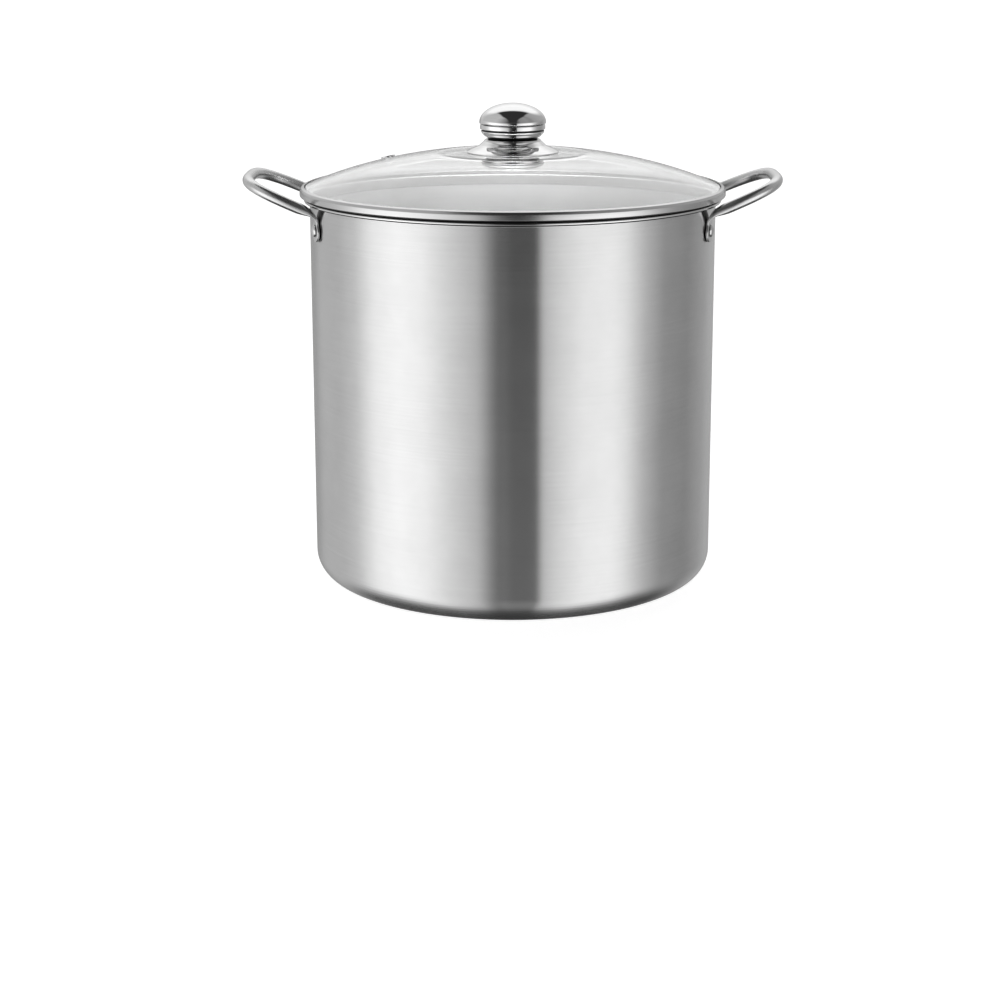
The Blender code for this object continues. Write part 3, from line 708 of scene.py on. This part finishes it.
def make_knob():
    """Cap, tiered body and flared flange, chromed, in one stack; the body's groove, neck and foot and the
    band under the cap's seam carry painted shade.
    """
    steps = 128
    cap_rise = KNOB_TOP - KNOB_CENTRE
    skin = 1.0 * MM
    outer = arc(0.0, KNOB_CENTRE, KNOB_R, cap_rise, 90, 0, 40)
    lip = rounded([
        (KNOB_R, KNOB_CENTRE, 0.0),
        (KNOB_R - 0.1 * MM, CAP_SEAM, 0.5 * MM),
        (KNOB_R - 1.6 * MM, CAP_SEAM, 0.2 * MM),
        (KNOB_R - skin, KNOB_CENTRE, 0.0),
    ])
    inner = arc(0.0, KNOB_CENTRE, KNOB_R - skin, cap_rise - skin, 0, 90, 12)
    cap = lifted(outer + lip[1:-1] + inner)
    mesh = turned("knob_dome", cap, steps, ring=False)
    add_piece("knob_dome", mesh, "lid", CHROME, ["knob_cap"])

    boss_r = 15.0 * MM
    body = held(rounded([
        (0.0, 60.0 * MM, 0.0),
        (boss_r, 60.0 * MM, 0.5 * MM),
        (boss_r, CAP_SEAM - GAP, 0.0),
        (23.6 * MM, CAP_SEAM - GAP, 0.3 * MM),
        (24.1 * MM, 52.4 * MM, 0.8 * MM),
        (24.25 * MM, 50.8 * MM, 1.2 * MM),
        (24.2 * MM, 49.35 * MM, 0.35 * MM),
        (23.2 * MM, 49.0 * MM, 0.15 * MM),
        (23.1 * MM, 48.2 * MM, 0.15 * MM),
        (23.45 * MM, 47.8 * MM, 0.3 * MM),
        (23.35 * MM, 46.9 * MM, 1.0 * MM),
        (22.5 * MM, 45.7 * MM, 1.2 * MM),
        (21.2 * MM, 44.4 * MM, 2.0 * MM),
        (19.3 * MM, 42.95 * MM, 1.0 * MM),
        (18.3 * MM, KNOB_FOOT, 0.3 * MM),
        (BOLT_HOLE_R, KNOB_FOOT, 0.0),
        (BOLT_HOLE_R, 56.0 * MM, 0.0),
        (0.0, 56.0 * MM, 0.0),
    ]), 0.15 * MM)

    def pick(radius, height):
        level = height - RIM
        # Painted shade: the groove, the neck and underside below the lower tier and the band under the
        # cap's seam take the near-black material.
        groove = radius < 23.7 * MM and 48.0 * MM < level < 49.2 * MM
        return 1 if groove or level < 43.2 * MM or level > CAP_SEAM - 0.45 * MM else 0

    mesh = turned("knob_tiers", lifted(body), steps, ring=False, pick=pick)
    add_piece("knob_tiers", mesh, "lid", [CHROME, PAINTED_SHADE], ["knob_body"])

    top = KNOB_FOOT - GAP
    foot = SEAT_H + 0.1 * MM
    flare = held(rounded([
        (BOLT_HOLE_R, top, 0.0),
        (20.5 * MM, top, 0.4 * MM),
        (21.4 * MM, 40.4 * MM, 1.5 * MM),
        (24.8 * MM, 37.2 * MM, 4.0 * MM),
        (30.3 * MM, 34.85 * MM, 4.0 * MM),
        (33.2 * MM, 33.3 * MM, 1.5 * MM),
        (FLANGE_R, 32.7 * MM, 0.3 * MM),
        (FLANGE_R, foot, 0.15 * MM),
        (FLANGE_R - 1.2 * MM, foot, 0.15 * MM),
        (29.9 * MM, 34.0 * MM, 3.0 * MM),
        (24.3 * MM, 36.4 * MM, 3.0 * MM),
        (20.6 * MM, 39.9 * MM, 1.0 * MM),
        (19.6 * MM, top - 0.8 * MM, 0.4 * MM),
        (BOLT_HOLE_R, top - 0.8 * MM, 0.0),
    ], ring=True), 0.15 * MM)
    mesh = turned("knob_flare", lifted(flare), steps)
    add_piece("knob_flare", mesh, "lid", CHROME, ["knob_flange"])


def washer(name, node, inner_r, outer_r, low, high, material):
    """A flat ring with eased edges between two heights above the rim."""
    ease = min(0.3 * MM, (high - low) / 3)
    profile = rounded([
        (inner_r, high, ease), (outer_r, high, ease), (outer_r, low, ease), (inner_r, low, ease),
    ], ring=True)
    mesh = turned(name, lifted(held(profile, 0.15 * MM)), 64)
    add_piece(name, mesh, "lid", material, [node])


def make_knob_fixing():
    """Gaskets, washer and the cross-recessed bolt that clamp the knob to the glass."""
    under = SEAT_H - GLASS
    washer(
        "seal_upper", "knob_gasket_upper", BOLT_HOLE_R, 12 * MM, SEAT_H + GAP, KNOB_FOOT - 1.4 * MM,
        SILICONE,
    )
    washer(
        "seal_lower", "knob_gasket_lower", BOLT_HOLE_R, 9 * MM, under - 1.6 * MM, under - 0.1 * MM,
        SILICONE,
    )
    washer(
        "bolt_washer", "knob_washer", BOLT_HOLE_R, 8 * MM, under - 2.6 * MM, under - 1.7 * MM,
        PLATED,
    )
    seat = under - 2.75 * MM
    profile = held(rounded([
        (0.0, 54.0 * MM, 0.0),
        (BOLT_R, 54.0 * MM, 0.6 * MM),
        (BOLT_R, seat, 0.0),
        (5.2 * MM, seat, 0.3 * MM),
        (5.2 * MM, seat - 1.5 * MM, 0.8 * MM),
        (3.6 * MM, seat - 3.2 * MM, 2.0 * MM),
        (0.0, seat - 3.2 * MM, 0.0),
    ]), 0.15 * MM)
    mesh = turned("bolt_and_head", lifted(profile), 48, ring=False)
    bolt = add_piece("bolt_and_head", mesh, "lid", BOLT, ["knob_bolt"])
    recess(bolt, Vector((0.0, 0.0, RIM + seat - 3.2 * MM)))


def recess(bolt, centre):
    """Cut a cross recess in the bolt's head and keep the cut mesh."""
    cutters = []
    for index, size in enumerate(((5.6, 1.1), (1.1, 5.6))):
        shape = bmesh.new()
        box = Matrix.Translation(centre) @ Matrix.Diagonal((size[0] * MM, size[1] * MM, 3.2 * MM, 1.0))
        bmesh.ops.create_cube(shape, size=1.0, matrix=box)
        cutter = bpy.data.objects.new(f"recess_{index}", shape_to_mesh(shape, f"recess_{index}"))
        bpy.context.scene.collection.objects.link(cutter)
        boolean = bolt.modifiers.new(cutter.name, "BOOLEAN")
        boolean.object = cutter
        cutters.append(cutter)
    bpy.context.view_layer.update()
    made = bpy.data.meshes.new_from_object(bolt.evaluated_get(bpy.context.evaluated_depsgraph_get()))
    bolt.modifiers.clear()
    bolt.data = made
    made.set_sharp_from_angle(angle=radians(35.0))
    for cutter in cutters:
        bpy.data.objects.remove(cutter)


# ---------------------------------------------------------------- rack

def make_rack():
    """Rings, cross wires, bearers and feet of the jar rack, and its folding handles."""
    circle = [2 * pi * i / 160 for i in range(160)]
    for node, radius, wire_r, height in (
        ("rack_outer_ring", RING_R, RING_WIRE_R, RING_Z),
        ("rack_inner_ring", INNER_RING_R, WIRE_R, BEARER_Z),
    ):
        points = [(radius * cos(a), radius * sin(a), height) for a in circle]
        add_wire(node, points, wire_r, "rack", cyclic=True)
    for index in range(-CROSS_SIDE, CROSS_SIDE + 1):
        x = index * CROSS_PITCH
        reach = sqrt(CROSS_REACH_R ** 2 - x ** 2)
        node = f"rack_cross_wire_{index + CROSS_SIDE + 1}"
        add_wire(node, [(x, -reach, CROSS_Z), (x, reach, CROSS_Z)], WIRE_R, "rack")
    for end, end_name in ((-1, "front"), (1, "rear")):
        inside = sqrt((RING_R - RING_WIRE_R) ** 2 - (BEARER_Y + WIRE_R) ** 2) - 2 * GAP
        y = end * BEARER_Y
        add_wire(f"rack_bearer_{end_name}", [(-inside, y, BEARER_Z), (inside, y, BEARER_Z)], WIRE_R, "rack")
        for side, side_name in ((-1, "left"), (1, "right")):
            points = [(x + side * FOOT_X, y, z) for x, z in foot_profile()]
            add_wire(f"rack_foot_{side_name}_{end_name}", points, WIRE_R, "rack")
    for side, side_name in ((-1, "left"), (1, "right")):
        x = side * HINGE_X
        bar = [(x, -HINGE_REACH, CROSS_Z), (x, HINGE_REACH, CROSS_Z)]
        add_wire(f"rack_hinge_bar_{side_name}", bar, WIRE_R, "rack")
        points = [(x + side * px, side * py, CROSS_Z + pz) for px, py, pz in bail_path()]
        add_wire(f"rack_bail_{side_name}", points, BAIL_WIRE_R, f"bail_{side_name}")


def add_wire(node, points, radius, body, cyclic=False):
    """A fine wire piece in place of a CAD node."""
    mesh = wire(node + "_wire", points, radius, cyclic)
    add_piece(node + "_wire", mesh, body, RACK_WIRE, [node])


def foot_profile():
    """A U bend hanging down from a bearer, as (x, z) points."""
    top = BEARER_Z - WIRE_R - GAP
    low = FLOOR + GAP + WIRE_R
    bend = 5.0 * MM
    right = arc(FOOT_HALF_WIDTH - bend, low + bend, bend, bend, 0, -90, 12)
    half = [(FOOT_HALF_WIDTH, top)] + right
    return half + [(-x, z) for x, z in reversed(half)]


def bail_path():
    """A folded bail about a hinge along Y through the origin, its legs towards -X."""
    turns = [radians(-300 + 10 * i) for i in range(31)]
    eye = [(-EYE_R * sin(a), EYE_R * cos(a)) for a in turns]
    corner = arc(
        -(BAIL_LENGTH - BAIL_BEND_R), BAIL_HALF_WIDTH - BAIL_BEND_R, BAIL_BEND_R, BAIL_BEND_R, 90, 180, 16
    )
    half = [(x, BAIL_HALF_WIDTH, z) for x, z in eye]
    half += [(x, y, EYE_R) for x, y in corner]
    return half + [(x, -y, z) for x, y, z in reversed(half)]


# ---------------------------------------------------------------- studio

# Light round the object: (azimuth in degrees, level). Azimuth 0 is the gap in front, where
# the camera stands, and it grows towards +X. The soft boxes stand level with the pot. The
# levels follow the real object's surroundings, as its metal shows them.
WALL_LIGHT = (
    (-180, 0.40), (-155, 0.40), (-140, 0.62), (-114, 0.68), (-100, 0.88), (-84, 1.50),
    (-68, 1.70), (-52, 1.56), (-36, 1.14), (-20, 0.82), (-8, 0.14), (0, 0.02), (13, 0.02),
    (17, 0.88), (27, 1.16), (40, 1.46), (58, 1.57), (66, 1.41), (80, 0.78), (94, 0.43),
    (116, 0.33), (150, 0.52), (180, 0.40),
)
UPPER_LIGHT = (
    (-180, 0.93), (-162, 0.93), (-146, 0.70), (-124, 0.60), (-65, 0.62), (-48, 0.50),
    (-26, 0.24), (-14, 0.06), (14, 0.06), (28, 0.30), (52, 0.36), (72, 0.30), (84, 0.40),
    (110, 0.46), (130, 0.48), (148, 0.50), (162, 0.85), (180, 0.93),
)
STRONGEST_LIGHT = 2.0            # a colour ramp holds no level above 1
PANEL_LEVEL = 1.28
FRONT_SHARE = 0.34
GAP_LEVEL = 0.035
GROUND_LEVEL = 0.05
BACKDROP_LEVEL = 1.05            # what the camera sees directly
FILL_LEVEL = 0.56                # rays that crossed the glass
TUCKED_SHARE = 0.6               # rays mirrored three times or more


def ramp(tree, value, stops):
    """A colour ramp of grey levels over values that run from 0 to 1."""
    node = tree.add("ShaderNodeValToRGB")
    tree.put(node.inputs[0], value)
    elements = node.color_ramp.elements
    while len(elements) < len(stops):
        elements.new(0.5)
    for element, (position, _) in zip(elements, stops):
        element.position = position
    for element, (_, level) in zip(elements, stops):
        element.color = (level, level, level, 1.0)
    return node.outputs[0]


def make_world():
    """Soft boxes round the pot, greyer walls above them and a bright panel overhead behind.

    A dark gap runs from the front over the top of the object, as far as the panel.
    """
    world = bpy.data.worlds.new("studio")
    bpy.context.scene.world = world
    tree = Tree(world)
    direction = tree.add("ShaderNodeTexCoord").outputs["Generated"]
    parts = tree.add("ShaderNodeSeparateXYZ", vector=direction).outputs
    x, y, z = parts[0], parts[1], parts[2]
    azimuth = tree.math("ARCTAN2", x, tree.math("MULTIPLY", y, -1.0))
    elevation = tree.math("ARCSINE", z)
    turn = tree.math("ADD", tree.math("DIVIDE", azimuth, 2 * pi), 0.5)
    wall, upper = (light_round(tree, turn, stops) for stops in (WALL_LIGHT, UPPER_LIGHT))

    rising = tree.span(elevation, radians(2), radians(14), 0.0, 1.0, smooth=True)
    level = tree.mix(rising, wall, upper)
    beside = tree.math("ABSOLUTE", tree.math("SUBTRACT", x, 0.01))
    panel = tree.math(
        "MULTIPLY",
        tree.span(y, 0.30, 0.56, 0.0, 1.0, smooth=True),
        tree.span(elevation, radians(16), radians(36), 0.0, 1.0, smooth=True),
    )
    panel = tree.math("MULTIPLY", panel, tree.span(beside, 0.40, 0.68, 1.0, 0.0, smooth=True))
    level = tree.mix(panel, level, grey(PANEL_LEVEL))
    front = tree.math(
        "MULTIPLY",
        tree.span(azimuth, radians(-13), radians(-5), 0.0, 1.0),
        tree.span(azimuth, radians(12), radians(15), 1.0, 0.0),
    )
    floorward = tree.span(elevation, radians(-12.5), radians(-17), 0.0, FRONT_SHARE)
    front = tree.math("MULTIPLY", front, floorward)
    level = tree.mix(front, level, grey(1.0))
    half = tree.span(y, -0.85, -0.20, 0.20, 0.43)
    off = tree.math("SUBTRACT", beside, half)
    gap = tree.math("MULTIPLY", tree.span(off, -0.04, 0.04, 1.0, 0.0), tree.span(y, 0.34, 0.41, 1.0, 0.0))
    gap = tree.math("MULTIPLY", gap, tree.span(elevation, radians(14), radians(22), 0.0, 1.0))
    level = tree.mix(gap, level, grey(GAP_LEVEL))
    aside = tree.span(tree.math("ABSOLUTE", azimuth), radians(45), radians(85), 0.0, radians(20))
    lowered = tree.math("SUBTRACT", elevation, aside)
    low = tree.span(lowered, radians(-48), radians(-68), 0.0, 1.0, smooth=True)
    level = tree.mix(low, level, grey(GROUND_LEVEL))

    # Not physical: the level also depends on how a ray got here
    path = tree.add("ShaderNodeLightPath").outputs
    mirrored, passed = path["Glossy Depth"], path["Transmission Depth"]
    inside = tree.math("GREATER_THAN", passed, 1.5)
    often = tree.math("GREATER_THAN", mirrored, 2.5)
    tucked = tree.math("MULTIPLY", often, tree.math("LESS_THAN", passed, 0.5))
    dimmed = tree.span(tucked, 0.0, 1.0, 1.0, TUCKED_SHARE)
    once = tree.span(mirrored, 0.0, 1.0, 0.0, 1.0)
    returned = tree.math("MULTIPLY", once, tree.span(y, -0.9, 0.1, 4.2, 0.6))
    returned = tree.math("MULTIPLY", returned, tree.span(beside, 0.25, 0.80, 1.25, 0.90))
    glow = tree.math("ADD", FILL_LEVEL, returned)
    level = tree.mix(inside, level, glow)
    level = tree.mix(path["Is Camera Ray"], level, grey(BACKDROP_LEVEL))
    background = tree.add("ShaderNodeBackground", color=level, strength=dimmed)
    tree.close("ShaderNodeOutputWorld", background)


def grey(level):
    """A neutral colour."""
    return (level, level, level)


def light_round(tree, turn, stops):
    """A level that goes round the object by stops of azimuth."""
    scaled = [((azimuth + 180) / 360, level / STRONGEST_LIGHT) for azimuth, level in stops]
    return tree.math("MULTIPLY", ramp(tree, turn, scaled), STRONGEST_LIGHT)


def make_floor():
    """A broad pale floor, kept out of the metal's reflections as a raised set would be."""
    shape = bmesh.new()
    bmesh.ops.create_circle(shape, cap_ends=True, radius=14.0, segments=96)
    floor = bpy.data.objects.new("floor", shape_to_mesh(shape, "floor"))
    bpy.context.scene.collection.objects.link(floor)
    floor.location.z = -0.2 * MM
    floor.visible_glossy = False
    floor.visible_transmission = False
    material = bpy.data.materials.new("pale_floor")
    tree = Tree(material)
    mottled = tree.noise(place(tree)[0], 3.0, 3.0, 0.5)
    shade = tree.mix(mottled, (0.88, 0.88, 0.88), (0.90, 0.90, 0.90))
    shader = tree.add(
        "ShaderNodeBsdfPrincipled",
        base_color=shade, roughness=0.9, specular_ior_level=0.0,
        emission_color=(1.0, 1.0, 1.0, 1.0), emission_strength=0.76,
    )
    tree.close("ShaderNodeOutputMaterial", shader)
    floor.data.materials.append(material)


def make_camera():
    """A long lens a little above the lid, looking down at the pot."""
    data = bpy.data.cameras.new("camera")
    camera = bpy.data.objects.new("camera", data)
    bpy.context.scene.collection.objects.link(camera)
    camera.location = (0.0, -1.6493, 0.490)
    camera.rotation_euler = (radians(90.0 - 11.85), 0.0, 0.0)
    data.sensor_width = 36.0
    data.lens = 80.064
    data.shift_x = -0.0127
    data.shift_y = -0.1161
    data.clip_start = 0.05
    data.clip_end = 60.0
    bpy.context.scene.camera = camera


make_pot()
make_handles()
make_glass()
make_vent()
make_band()
make_knob()
make_knob_fixing()
make_rack()
make_world()
make_floor()
make_camera()
bpy.context.scene.view_settings.view_transform = "Standard"
